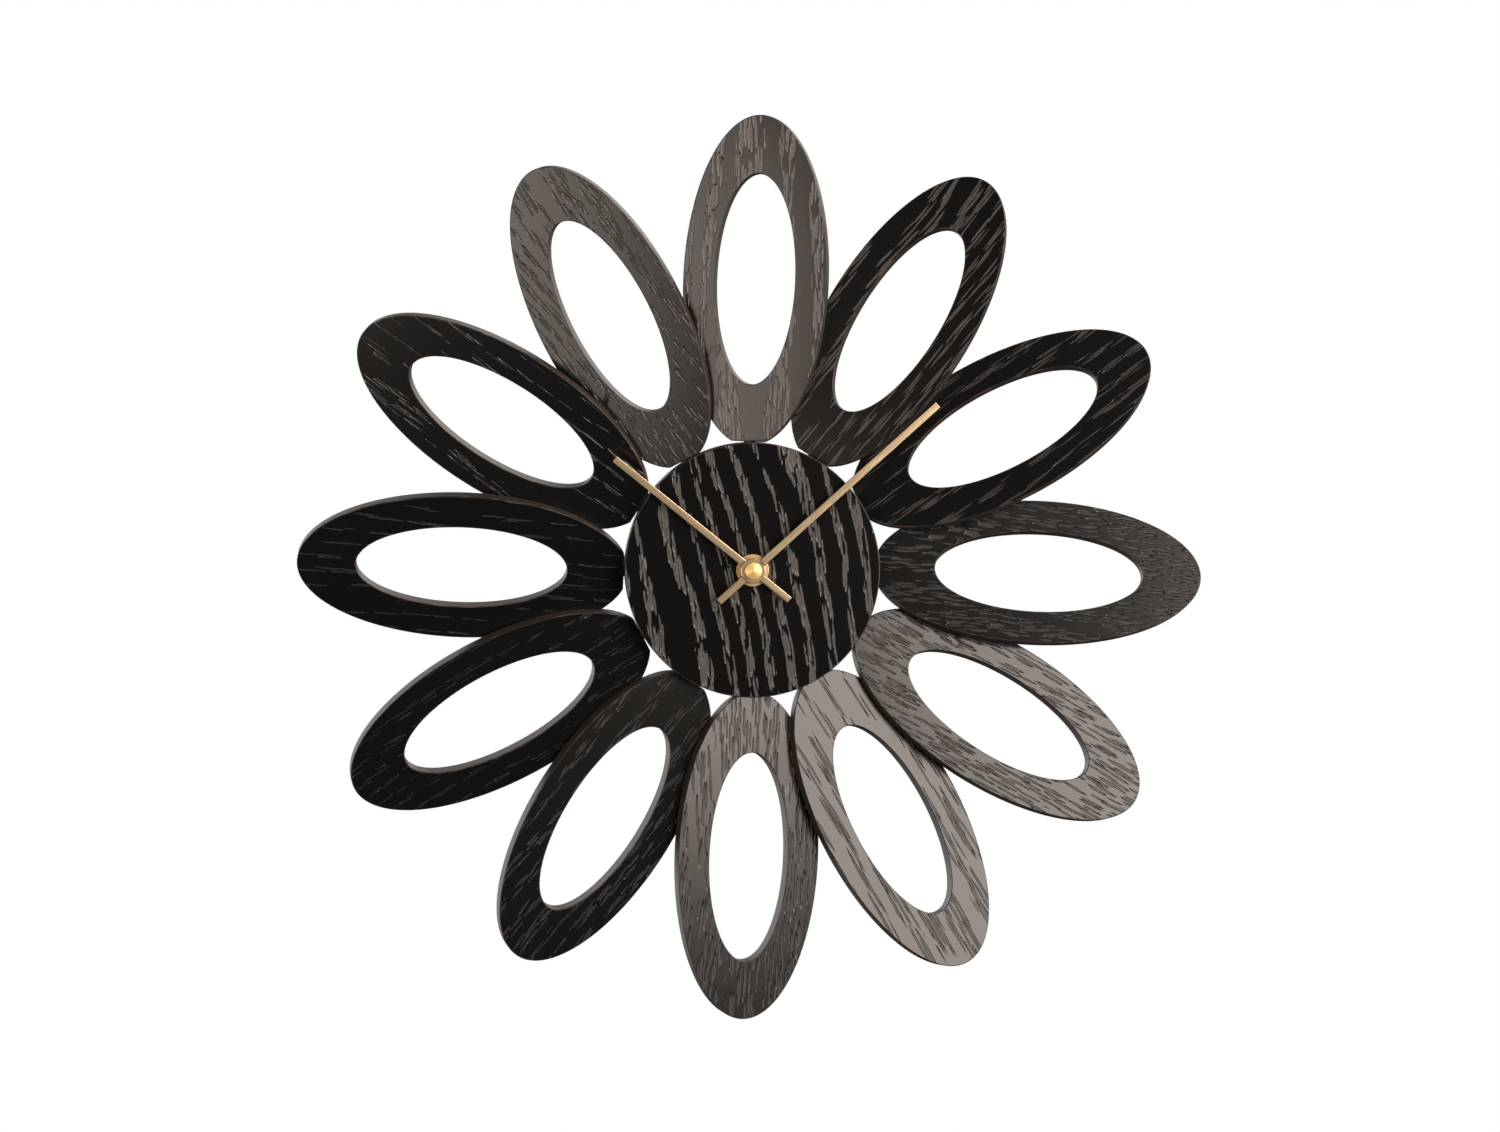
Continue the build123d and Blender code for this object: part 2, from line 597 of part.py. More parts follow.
def main():
    os.makedirs("parts", exist_ok=True)
    shapes = petals()
    shapes.update({name: make() for name, make in NODES.items()})
    for name, shape in shapes.items():
        export_step(shape, f"parts/{name}.step")


main()
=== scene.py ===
"""Looks of a wall clock: a flower of twelve tilted wooden rings round a wooden dial with brass hands.

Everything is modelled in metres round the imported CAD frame: +X right, +Z up, the wall at y = 0 and the
clock facing -Y. Sizes are written in millimetres and turned to metres by MM. A "depth" is a distance in
front of the wall, so y = -depth.
"""

import logging
from collections.abc import Callable, Iterator
from contextlib import contextmanager
from dataclasses import dataclass
from enum import Enum
from math import cos, pi, radians, sin, tan
from typing import Any

import bmesh
import bpy
from mathutils import Matrix, Vector


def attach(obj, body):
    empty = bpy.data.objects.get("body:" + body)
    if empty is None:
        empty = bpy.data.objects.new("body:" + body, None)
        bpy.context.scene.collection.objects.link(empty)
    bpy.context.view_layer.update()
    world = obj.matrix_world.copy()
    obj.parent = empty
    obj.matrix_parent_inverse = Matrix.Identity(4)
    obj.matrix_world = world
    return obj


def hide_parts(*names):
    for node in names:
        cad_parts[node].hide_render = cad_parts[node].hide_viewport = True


MM = 0.001
TO_WALL_PLANE = (pi / 2, 0.0, 0.0)   # turns a primitive's own Z axis to -Y, out of the wall
log = logging.getLogger("flower_clock")
Piece = bpy.types.Object
Node = bpy.types.Node
Tree = bpy.types.NodeTree

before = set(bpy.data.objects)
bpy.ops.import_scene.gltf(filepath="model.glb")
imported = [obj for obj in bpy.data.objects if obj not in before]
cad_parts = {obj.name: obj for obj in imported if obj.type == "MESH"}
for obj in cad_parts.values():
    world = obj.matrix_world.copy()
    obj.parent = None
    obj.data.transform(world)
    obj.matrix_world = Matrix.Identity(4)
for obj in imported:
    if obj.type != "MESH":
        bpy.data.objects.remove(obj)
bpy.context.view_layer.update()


# ---- modelling in Blender --------------------------------------------------------------------------
class Bodies(Enum):
    """Moving bodies of the clock, by their names in the CAD frame."""

    CLOCK = "clock_body"
    MINUTE = "minute"
    HOUR = "hour"
    KNOB = "setting_knob"
    BATTERY = "battery"


def deselect() -> None:
    """Deselect every object, which leaves the next operator to its own piece."""
    bpy.ops.object.select_all(action="DESELECT")


def select_only(piece: Piece) -> None:
    """Select one piece and make it active."""
    deselect()
    piece.select_set(True)
    bpy.context.view_layer.objects.active = piece


def named(name: str) -> Piece:
    """Name the primitive that was just added and bring it to the origin, unturned."""
    piece = bpy.context.active_object
    piece.name = piece.data.name = name
    bpy.ops.object.transform_apply(location=True, rotation=True, scale=True)
    return piece


@contextmanager
def editing(piece: Piece) -> Iterator[None]:
    """Edit mode on one piece, with all of it selected.

    Args:
        piece: The mesh object to edit.
    """
    select_only(piece)
    bpy.ops.object.mode_set(mode="EDIT")
    bpy.ops.mesh.select_mode(type="EDGE")
    bpy.ops.mesh.select_all(action="SELECT")
    yield
    bpy.ops.object.mode_set(mode="OBJECT")


def select_edges(piece: Piece, wanted: Callable[[bmesh.types.BMEdge], bool]) -> None:
    """Select edges of the piece in edit mode.

    Args:
        piece: The mesh object in edit mode.
        wanted: Says of each edge whether it is selected.
    """
    bpy.ops.mesh.select_all(action="DESELECT")
    edit = bmesh.from_edit_mesh(piece.data)
    for edge in edit.edges:
        edge.select_set(wanted(edge))
    bmesh.update_edit_mesh(piece.data)


def modify(piece: Piece, kind: str, **settings: Any) -> None:
    """Add a modifier and apply it.

    Args:
        piece: The mesh object to change.
        kind: Type of the modifier.
        settings: Its settings by name.
    """
    select_only(piece)
    modifier = piece.modifiers.new(kind.title(), kind)
    for name, value in settings.items():
        setattr(modifier, name, value)
    bpy.ops.object.modifier_apply(modifier=modifier.name)


def subtract(piece: Piece, *tools: Piece) -> None:
    """Cut the tools' shapes out of the piece and remove the tools."""
    for tool in tools:
        modify(piece, "BOOLEAN", operation="DIFFERENCE", solver="EXACT", object=tool)
        bpy.data.objects.remove(tool)


def fuse(piece: Piece, *others: Piece) -> None:
    """Join the other shapes to the piece in one closed skin and remove them."""
    for other in others:
        modify(piece, "BOOLEAN", operation="UNION", solver="EXACT", object=other)
        bpy.data.objects.remove(other)


def soften(piece: Piece, width: float, segments: int = 3, sharp: float = 50.0) -> None:
    """Round every sharp edge of the piece.

    Args:
        piece: The mesh object to change.
        width: Width of the rounding in millimetres.
        segments: Faces across it.
        sharp: Smallest angle, in degrees, of an edge that is rounded.
    """
    modify(piece, "BEVEL", width=width * MM, segments=segments, limit_method="ANGLE",
           angle_limit=radians(sharp), use_clamp_overlap=True)


def smooth(piece: Piece, angle: float = 35.0) -> None:
    """Shade the piece smooth where its faces meet flatter than the angle, keeping flat faces flat."""
    select_only(piece)
    bpy.ops.object.shade_smooth_by_angle(angle=radians(angle))
    modify(piece, "WEIGHTED_NORMAL", keep_sharp=True, weight=80)


def box_tool(low: tuple[float, float, float], high: tuple[float, float, float]) -> Piece:
    """Box between two corners in millimetres, given as (x, z, depth)."""
    centre = [(a + b) / 2 for a, b in zip(low, high)]
    size = [abs(b - a) for a, b in zip(low, high)]
    deselect()
    bpy.ops.mesh.primitive_cube_add(size=1.0, location=(centre[0] * MM, -centre[2] * MM, centre[1] * MM),
                                    scale=(size[0] * MM, size[2] * MM, size[1] * MM))
    return named("tool")


def turned(name: str, profile: list[tuple[float, float]], centre: tuple[float, float] = (0.0, 0.0),
           segments: int = 96, hollow: bool = False) -> Piece:
    """Model a piece of revolution whose axis is square to the wall.

    Args:
        name: Name of the piece.
        profile: (radius, depth) corners in millimetres, in order.
        centre: x and z of the axis in millimetres.
        segments: Faces round the axis.
        hollow: True closes the profile on itself, for a ring; False caps both ends.

    Returns:
        The piece, with sharp corners.
    """
    radius, depth = profile[0]
    middle = Vector((centre[0], 0.0, centre[1])) * MM
    deselect()
    bpy.ops.mesh.primitive_circle_add(vertices=segments, radius=radius * MM, rotation=TO_WALL_PLANE,
                                      location=middle - Vector((0, depth * MM, 0)),
                                      fill_type="NOTHING" if hollow else "NGON")
    piece = named(name)
    corners = profile[1:] + (profile[:1] if hollow else [])
    with editing(piece):
        for next_radius, next_depth in corners:
            ratio = next_radius / radius
            bpy.ops.mesh.extrude_edges_move(
                TRANSFORM_OT_translate={"value": (0.0, (depth - next_depth) * MM, 0.0)})
            bpy.ops.transform.resize(value=(ratio, 1.0, ratio), center_override=middle)
            radius, depth = next_radius, next_depth
        if not hollow:
            bpy.ops.mesh.edge_face_add()
        bpy.ops.mesh.select_all(action="SELECT")
        bpy.ops.mesh.remove_doubles(threshold=0.001 * MM)
        bpy.ops.mesh.normals_make_consistent(inside=False)
    return piece


def tube(name: str, bore: float, radius: float, back: float, front: float, **place: Any) -> Piece:
    """Model a plain ring from its bore to its radius and from back to front, all in millimetres."""
    return turned(name, [(bore, back), (radius, back), (radius, front), (bore, front)], hollow=True, **place)


def softened_copy(node: str, name: str, width: float) -> Piece:
    """Copy a CAD node's shape as a clean mesh with rounded edges.

    Args:
        node: Name of the CAD node, which is left as it is.
        name: Name of the new piece.
        width: Width of the rounding in millimetres.
    """
    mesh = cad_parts[node].data.copy()
    mesh.materials.clear()
    piece = bpy.data.objects.new(name, mesh)
    bpy.context.scene.collection.objects.link(piece)
    select_only(piece)
    if mesh.has_custom_normals:
        bpy.ops.mesh.customdata_custom_splitnormals_clear()
    with editing(piece):
        bpy.ops.mesh.remove_doubles(threshold=0.002 * MM)
        bpy.ops.mesh.dissolve_limited(angle_limit=radians(0.5))
    soften(piece, width, segments=2)
    smooth(piece)
    return piece


def another(piece: Piece, name: str) -> Piece:
    """Copy a piece with a mesh of its own."""
    copy = bpy.data.objects.new(name, piece.data.copy())
    copy.data.name = name
    bpy.context.scene.collection.objects.link(copy)
    return copy


def mark_grain(piece: Piece, slant: float = 0.0, seed: float = 0.0, stretch: float = 1.0) -> None:
    """Give the piece its own grain coordinates: millimetres across, along and through the grain.

    Args:
        piece: The mesh object, flat in the wall's plane, before it is put in place.
        slant: Angle of the grain in degrees, clockwise from the piece's Z axis.
        seed: Moves the pattern, so that no two pieces share it.
        stretch: How long the figure is along the grain, against the finish's own length.
    """
    swap = Matrix(((1, 0, 0, 0), (0, 0, 1 / stretch, 0), (0, 1, 0, 0), (0, 0, 0, 1)))
    shift = Matrix.Translation((37.0 * seed, 211.0 * seed, 97.0 * seed))
    to_grain = shift @ swap @ Matrix.Rotation(radians(-slant), 4, "Y") @ Matrix.Scale(1 / MM, 4)
    places = [coordinate for vertex in piece.data.vertices for coordinate in to_grain @ vertex.co]
    piece.data.attributes.new("grain", "FLOAT_VECTOR", "POINT").data.foreach_set("vector", places)


# ---- materials -------------------------------------------------------------------------------------
METAL = {"Metallic": 1.0}


def linear(colour: str) -> tuple[float, float, float, float]:
    """Linear RGBA of an sRGB hex colour such as #C0FFEE."""
    channels = [int(colour[i:i + 2], 16) / 255 for i in (1, 3, 5)]
    red, green, blue = (c / 12.92 if c <= 0.04045 else ((c + 0.055) / 1.055) ** 2.4 for c in channels)
    return (red, green, blue, 1.0)


def add(tree: Tree, kind: str, inputs: dict[str | int, Any] | None = None, **settings: Any) -> Node:
    """Add a shader node with its settings and links.

    Args:
        tree: The node tree.
        kind: The node's type without its ShaderNode prefix.
        inputs: A value, a node, a node's output or a hex colour for each input, by name or place.
        settings: Properties of the node.

    Returns:
        The new node.
    """
    node = tree.nodes.new("ShaderNode" + kind)
    for name, value in settings.items():
        setattr(node, name, value)
    for key, value in (inputs or {}).items():
        if isinstance(value, Node):
            value = next(out for out in value.outputs if out.enabled)
        if isinstance(value, bpy.types.NodeSocket):
            tree.links.new(value, node.inputs[key])
        else:
            node.inputs[key].default_value = linear(value) if isinstance(value, str) else value
    return node


def attribute(tree: Tree, name: str) -> bpy.types.NodeSocket:
    """Vector that the piece carries under a name."""
    return add(tree, "Attribute", attribute_name=name).outputs["Vector"]


def place_on(tree: Tree) -> bpy.types.NodeSocket:
    """Place on the piece, in metres from its origin."""
    return add(tree, "TexCoord").outputs["Object"]


def maths(tree: Tree, operation: str, *values: Any) -> Node:
    """Work out one operation on numbers, nodes or outputs, given in order."""
    return add(tree, "Math", dict(enumerate(values)), operation=operation)


def scaled(tree: Tree, place: Any, scale: tuple[float, float, float]) -> Node:
    """Multiply a place by a scale along each axis."""
    return add(tree, "VectorMath", {0: place, 1: scale}, operation="MULTIPLY")


def noise(tree: Tree, place: Any, scale: float = 1.0, detail: float = 2.0, roughness: float = 0.5) -> Node:
    """Noise from 0 to 1."""
    return add(tree, "TexNoise", {"Vector": place, "Scale": scale, "Detail": detail, "Roughness": roughness})


def rise(tree: Tree, value: Any, low: Any, top: Any) -> Node:
    """Go from 0 to 1 while the value goes from low to top."""
    return add(tree, "MapRange", {"Value": value, "From Min": low, "From Max": top})


def spread(tree: Tree, value: Any, first: float, last: float) -> Node:
    """Go from first to last while the value goes from 0 to 1."""
    return add(tree, "MapRange", {"Value": value, "To Min": first, "To Max": last})


def blend(tree: Tree, mask: Any, first: Any, second: Any) -> Node:
    """Mix two colours, of which the second shows where the mask is 1."""
    factor_place, first_place, second_place = 0, 6, 7
    return add(tree, "Mix", {factor_place: mask, first_place: first, second_place: second},
               data_type="RGBA")


def bump(tree: Tree, height: Any, depth: float) -> Node:
    """Relief that is as deep in millimetres as given, where the height is 1."""
    return add(tree, "Bump", {"Strength": 1.0, "Distance": depth * MM, "Height": height})


def surface(tree: Tree, colour: Any, roughness: Any, others: dict[str, Any] | None = None) -> Node:
    """Surface shader with a colour, a roughness and any other inputs by name."""
    return add(tree, "BsdfPrincipled", {"Base Color": colour, "Roughness": roughness, **(others or {})})


@dataclass(frozen=True)
class Finish:
    """A surface finish. Each kind fills in its own nodes."""

    name: str

    def material(self) -> bpy.types.Material:
        """Return the finish's material, made when it is first asked for."""
        known = bpy.data.materials.get(self.name)
        if known:
            return known
        material = bpy.data.materials.new(self.name)
        material.use_nodes = True
        tree = material.node_tree
        tree.nodes.clear()
        shader = self.shader(tree)
        add(tree, "OutputMaterial", {"Surface": shader})
        return material

    def shader(self, tree: Tree) -> Node:
        """Build the nodes and return the last shader."""
        raise NotImplementedError

    def paint(self, piece: Piece) -> None:
        """Make this the piece's only material."""
        piece.data.materials.clear()
        piece.data.materials.append(self.material())

    def paint_nodes(self, *nodes: str) -> None:
        """Give this finish to CAD nodes that stay as they are."""
        for node in nodes:
            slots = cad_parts[node].material_slots
            if not slots:
                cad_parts[node].data.materials.append(self.material())
            for slot in slots:
                slot.material = self.material()


def finish_piece(piece: Piece, body: Bodies, node: str, finish: Finish | None = None) -> None:
    """Tie a finished piece to the frame and report it.

    Args:
        piece: The piece, in place.
        body: The body that it moves with.
        node: CAD node that it stands for.
        finish: Its only finish; None keeps the ones that it has.
    """
    if finish:
        finish.paint(piece)
    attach(piece, body.value)
    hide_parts(node)
    log.info("%s rides on %s: %d faces", piece.name, body.value, len(piece.data.polygons))


@dataclass(frozen=True)
class Figure:
    """What one leaf of veneer looks like."""

    bands: float                  # share of the leaf that carries pores, 0 to 1
    pores: float                  # share of a band that is open pore, 0 to 1
    pore_dust_and_glint: float = 0.0             # how pale the pores are, 0 to 1: partly dust in the pores, partly painted light caught by the pore walls
    slant: float = 0.0            # degrees clockwise from the piece's length
    stretch: float = 1.0          # length of the pores against the finish's own

    def lay(self, piece: Piece, seed: float) -> None:
        """Give the piece this figure and its own place in the veneer."""
        mark_grain(piece, self.slant, seed, self.stretch)
        values = (self.bands, self.pores, self.pore_dust_and_glint) * len(piece.data.vertices)
        piece.data.attributes.new("figure", "FLOAT_VECTOR", "POINT").data.foreach_set("vector", values)


@dataclass(frozen=True)
class StainedVeneer(Finish):
    """Brushed ash veneer, stained black under satin lacquer.

    The flat wood between the pores is a dark mirror with a soft edge: bright where it faces a light,
    black elsewhere. The open pores are short grooves whose sides face other ways, so they show dark on a
    bright petal and pale on a dark one. On some petals that pale is painted in as a paler pore colour,
    partly dust and partly painted light caught by the pore walls.
    """

    ground: str = "#0B0A09"
    clean_pore: str = "#141211"
    # pale pore colour: partly dust in the pores, partly painted light caught by the pore walls
    dusty_lit_pore: str = "#5A5653"
    ground_roughness: float = 0.19
    pore_roughness: float = 0.37
    ring_spacing: float = 8.5     # mm between bands of pores
    pore_pitch: float = 1.25      # mm across from pore to pore
    pore_length: float = 11.0     # mm along
    pore_depth: float = 0.16      # mm

    def shader(self, tree: Tree) -> Node:
        """Build the pores in bands that wander along the grain."""
        grain = attribute(tree, "grain")
        figure = add(tree, "SeparateXYZ", {0: attribute(tree, "figure")})
        streak, edge = self.streaks(tree, grain, figure)
        pore = self.step(tree, streak, edge, 0.07)
        slope = self.step(tree, streak, edge, 0.16)
        swell = self.field(tree, grain, (0.30, 0.05, 0.3), 1.0)
        height = maths(tree, "MULTIPLY_ADD", swell, 0.06, maths(tree, "MULTIPLY", slope, -1.0))
        # paler pores where the figure says so: partly dust, partly painted light on the pore walls
        groove = blend(tree, figure.outputs["Z"], self.clean_pore, self.dusty_lit_pore)
        return surface(tree, blend(tree, pore, self.ground, groove),
                       spread(tree, pore, self.ground_roughness, self.pore_roughness),
                       {"Normal": bump(tree, height, self.pore_depth), "IOR": 1.5})

    def field(self, tree: Tree, place: Any, scale: tuple[float, float, float], detail: float) -> Node:
        """Noise from 0 to 1 over a place that is scaled along each axis."""
        return noise(tree, scaled(tree, place, scale), detail=detail, roughness=0.55)

    def step(self, tree: Tree, value: Any, edge: Any, width: float) -> Node:
        """Rise from 0 to 1 where the value passes the edge, over a width."""
        return rise(tree, value, maths(tree, "ADD", edge, -width / 2), maths(tree, "ADD", edge, width / 2))

    def wander(self, tree: Tree, grain: Any, start: Any,
               bends: tuple[tuple[float, float, float], ...]) -> Any:
        """Bend a distance across the grain.

        Args:
            tree: The node tree.
            grain: Place in the veneer, in millimetres.
            start: Distance across the grain, in millimetres.
            bends: Size across, size along and reach of each bend, in millimetres.
        """
        for size_across, size_along, reach in bends:
            bend = self.field(tree, grain, (1 / size_across, 1 / size_along, 0.1), 0.0)
            start = maths(tree, "MULTIPLY_ADD", bend, reach, start)
        return start

    def streaks(self, tree: Tree, grain: Any, figure: Node) -> tuple[Node, Node]:
        """Build a field of pores and the level above which it is open pore.

        Returns:
            The field, 1 in the middle of a pore, and the level, which is out of reach between the bands.
        """
        straight = add(tree, "SeparateXYZ", {0: grain})
        across = self.wander(tree, grain, straight.outputs["X"], ((30.0, 80.0, 7.0), (7.0, 22.0, 2.0)))
        bent = add(tree, "CombineXYZ", {"X": across, "Y": straight.outputs["Y"], "Z": straight.outputs["Z"]})
        pores = scaled(tree, bent, (1 / self.pore_pitch, 1 / self.pore_length, 0.0))
        cell = add(tree, "TexVoronoi", {"Vector": pores, "Scale": 1.0}, voronoi_dimensions="2D")
        fray = self.field(tree, bent, (1 / 0.6, 1 / 4.0, 0.1), 1.0)
        streak = maths(tree, "MULTIPLY_ADD", fray, 0.35,
                       maths(tree, "SUBTRACT", 0.825, cell.outputs["Distance"]))
        squeezed = self.wander(tree, grain, across, ((60.0, 260.0, 60.0),))
        year = maths(tree, "MULTIPLY", squeezed, 1 / self.ring_spacing)
        ring = maths(tree, "PINGPONG", year, 0.5)
        thin = self.field(tree, bent, (1 / 14, 1 / 60, 0.1), 0.0)
        middle = maths(tree, "MULTIPLY_ADD", ring, 2.0, spread(tree, thin, -0.45, 0.45))
        level = spread(tree, figure.outputs["X"], 1.0, -0.2)
        closed = add(tree, "MapRange", {"Value": middle, "From Min": level, "From Max": maths(
            tree, "ADD", level, 0.25), "To Min": 0.7, "To Max": 0.0})
        return streak, maths(tree, "ADD", spread(tree, figure.outputs["Y"], 0.82, 0.40), closed)


@dataclass(frozen=True)
class PaintedBoard(Finish):
    """Sawn edge of plywood under thin black paint: matt, with faint plies and brown where it has worn."""

    paint_colour: str = "#3D3530"
    worn_colour: str = "#6B4A38"
    ply: float = 1.5              # mm thick
    worn_from: float = 0.62
    roughness: float = 0.6

    def shader(self, tree: Tree) -> Node:
        """Build plies along the thickness and worn patches."""
        grain = attribute(tree, "grain")
        plies = noise(tree, scaled(tree, grain, (0.08, 0.08, 1 / self.ply)))
        patches = noise(tree, scaled(tree, grain, (0.16, 0.16, 0.5)), detail=4.0)
        worn = rise(tree, patches, self.worn_from, self.worn_from + 0.06)
        return surface(tree, blend(tree, worn, self.paint_colour, self.worn_colour), self.roughness,
                       {"Normal": bump(tree, plies, 0.05)})


@dataclass(frozen=True)
class BrushedMetal(Finish):
    """Sheet metal brushed along its length: fine scratches spread the light across them."""

    colour: str = "#E8D3AE"
    dull: str = "#CDB48E"
    roughness: float = 0.28
    scratch_width: float = 0.12   # mm; real scratches are finer than the render can show
    scratch_length: float = 14.0  # mm
    scratch_depth: float = 0.004  # mm

    def shader(self, tree: Tree) -> Node:
        """Build scratches along the grain."""
        grain = attribute(tree, "grain")
        scratches = noise(tree, scaled(tree, grain, (1 / self.scratch_width, 1 / self.scratch_length, 1.0)))
        tarnish = noise(tree, grain, 0.12, 3.0)
        rough = spread(tree, scratches, self.roughness - 0.08, self.roughness + 0.08)
        return surface(tree, blend(tree, tarnish, self.colour, self.dull), rough,
                       {"Normal": bump(tree, scratches, self.scratch_depth), **METAL})


@dataclass(frozen=True)
class TurnedMetal(Finish):
    """Brass turned on a lathe: rings left by the tool round the hand axis spread the light outwards."""

    colour: str = "#CC9A4A"
    roughness: float = 0.28
    feed: float = 0.22            # mm from ring to ring; the real feed is too fine to show
    ring_depth: float = 0.004     # mm

    def shader(self, tree: Tree) -> Node:
        """Build tool rings from the distance to the hand axis."""
        place = place_on(tree)
        flat = scaled(tree, place, (1 / MM, 0.0, 1 / MM))
        distance = add(tree, "VectorMath", {0: flat}, operation="LENGTH").outputs["Value"]
        rings = maths(tree, "SINE", maths(tree, "MULTIPLY", distance, 2 * pi / self.feed))
        stain = noise(tree, place, 700.0, 3.0)
        return surface(tree, self.colour, spread(tree, stain, self.roughness - 0.06, self.roughness + 0.08),
                       {"Normal": bump(tree, rings, self.ring_depth), **METAL})


@dataclass(frozen=True)
class Moulded(Finish):
    """Injection-moulded plastic or rubber: spark-eroded texture and slight flow marks."""

    colour: str = "#101010"
    roughness: float = 0.42
    grit: float = 0.25            # mm, size of the mould's texture
    grit_depth: float = 0.012     # mm

    def shader(self, tree: Tree) -> Node:
        """Build the mould's texture."""
        place = place_on(tree)
        texture = noise(tree, place, 1 / (self.grit * MM))
        flow = noise(tree, place, 90.0)
        return surface(tree, self.colour, spread(tree, flow, self.roughness - 0.07, self.roughness + 0.07),
                       {"Normal": bump(tree, texture, self.grit_depth)})


@dataclass(frozen=True)
class PlatedMetal(Finish):
    """Stamped and plated metal: rolled sheet with faint streaks and fingermarks."""

    colour: str = "#B9BABC"
    roughness: float = 0.3

    def shader(self, tree: Tree) -> Node:
        """Build rolling streaks and blotches."""
        place = place_on(tree)
        streaks = noise(tree, scaled(tree, place, (300.0, 300.0, 4000.0)))
        blotches = noise(tree, place, 160.0, 3.0)
        rough = spread(tree, blotches, self.roughness - 0.08, self.roughness + 0.12)
        return surface(tree, self.colour, rough, {"Normal": bump(tree, streaks, 0.002), **METAL})


@dataclass(frozen=True)
class Beech(Finish):
    """Turned beech dowel: pale wood with short brown rays."""

    pale: str = "#C79A68"
    ray: str = "#8A5B35"

    def shader(self, tree: Tree) -> Node:
        """Build short rays."""
        rays = rise(tree, noise(tree, place_on(tree), 900.0, 3.0), 0.5, 0.65)
        return surface(tree, blend(tree, rays, self.pale, self.ray), 0.55)


@dataclass(frozen=True)
class Winding(Finish):
    """Fine enamelled copper wire, wound in turns across the bobbin."""

    colour: str = "#B4622E"
    turn: float = 0.3             # mm; the real wire is too fine to show

    def shader(self, tree: Tree) -> Node:
        """Build the turns along X."""
        along = add(tree, "SeparateXYZ", {0: place_on(tree)})
        turns = maths(tree, "SINE", maths(tree, "MULTIPLY", along, 2 * pi / (self.turn * MM)))
        return surface(tree, self.colour, 0.3, {"Normal": bump(tree, turns, 0.06), **METAL})


@dataclass(frozen=True)
class CellJacket(Finish):
    """Printed film shrunk on a zinc cell: a dark body with one copper-coloured band, steel ends."""

    body: str = "#1C2A38"
    band: str = "#A8692F"
    steel: str = "#B9BABC"
    band_from: float = 9.0        # mm along X, where the band begins
    film_ends: float = 24.6       # mm each way along X, past which the steel shows

    def shader(self, tree: Tree) -> Node:
        """Build the film's two colours and the bare ends along X."""
        place = place_on(tree)
        along = add(tree, "SeparateXYZ", {0: place})
        edge = rise(tree, along, self.band_from * MM, (self.band_from + 0.1) * MM)
        rough = spread(tree, noise(tree, place, 400.0, 4.0), 0.18, 0.36)
        film = surface(tree, blend(tree, edge, self.body, self.band), rough,
                       {"Coat Weight": 0.6, "Coat Roughness": 0.12})
        bare = rise(tree, maths(tree, "ABSOLUTE", along), (self.film_ends - 0.05) * MM, self.film_ends * MM)
        return add(tree, "MixShader", {0: bare, 1: film, 2: surface(tree, self.steel, 0.3, METAL)})


@dataclass(frozen=True)
class BoardLaminate(Finish):
    """Glass laminate with copper tracks under green lacquer."""

    lacquer: str = "#14532F"
    track: str = "#2E7F4B"
    pitch: float = 1.9            # mm between tracks

    def shader(self, tree: Tree) -> Node:
        """Build tracks across the board."""
        place = place_on(tree)
        height = add(tree, "SeparateXYZ", {0: place}).outputs["Z"]
        bend = noise(tree, place, 150.0, 0.0)
        run = maths(tree, "MULTIPLY_ADD", bend, 3.0, maths(tree, "MULTIPLY", height, 1 / (self.pitch * MM)))
        tracks = rise(tree, maths(tree, "PINGPONG", run, 1.0), 0.55, 0.62)
        return surface(tree, blend(tree, tracks, self.lacquer, self.track), 0.3,
                       {"Normal": bump(tree, tracks, 0.03)})


@dataclass(frozen=True)
class PaleFloor(Finish):
    """Matt pale board that the studio's floor is made of."""

    pale: str = "#E6E4E0"
    paler: str = "#ECEAE7"

    def shader(self, tree: Tree) -> Node:
        """Build a nearly even matt surface."""
        return surface(tree, blend(tree, noise(tree, place_on(tree), 6.0), self.pale, self.paler), 0.8)


VENEER = StainedVeneer("black_stained_ash_veneer")
DIAL_VENEER = StainedVeneer("black_stained_ash_dial_veneer", ring_spacing=9.0, ground_roughness=0.16)
BOARD_EDGE = PaintedBoard("black_painted_plywood_edge")
ARRIS = PaintedBoard("worn_plywood_arris", paint_colour="#1F1A17", worn_colour="#4A3B33", worn_from=0.52,
                     roughness=0.42)
HUB_BOARD = PaintedBoard("black_painted_hub_board", paint_colour="#242120", worn_from=0.78)
HAND_BRASS = BrushedMetal("brushed_brass_sheet")
TURNED_BRASS = TurnedMetal("turned_brass")
CAP_BRASS = TurnedMetal("turned_brass_cap", colour="#EBC888", roughness=0.38)
CASE_PLASTIC = Moulded("black_moulded_abs")
KNOB_PLASTIC = Moulded("grey_moulded_knob", colour="#3B3C3E", roughness=0.35)
TRAIN_PLASTIC = Moulded("natural_acetal_plate", colour="#C9C5B8", roughness=0.4)
WHEEL_PLASTIC = Moulded("white_acetal_wheel", colour="#D8D6CE", roughness=0.36)
BOBBIN_PLASTIC = Moulded("natural_nylon_bobbin", colour="#C8BE9C", roughness=0.45)
CHIP_RESIN = Moulded("black_epoxy_resin", colour="#0B0B0C", roughness=0.22, grit=0.8)
RUBBER = Moulded("black_rubber", colour="#121212", roughness=0.75, grit=0.4)
HANGER_STEEL = PlatedMetal("zinc_plated_steel")
CONTACT_STEEL = PlatedMetal("nickel_plated_steel", colour="#C8C4BA", roughness=0.22)
CRYSTAL_CAN = PlatedMetal("drawn_nickel_can", colour="#C4C4C2", roughness=0.2)
SOFT_IRON = PlatedMetal("annealed_soft_iron", colour="#6E6C69", roughness=0.45)
MAGNET_METAL = PlatedMetal("sintered_magnet", colour="#3C3B3A", roughness=0.5)
COPPER_WIRE = Winding("enamelled_copper_wire")
DOWEL_BEECH = Beech("turned_beech")
CELL_FILM = CellJacket("printed_cell_film")
LAMINATE = BoardLaminate("green_glass_laminate")


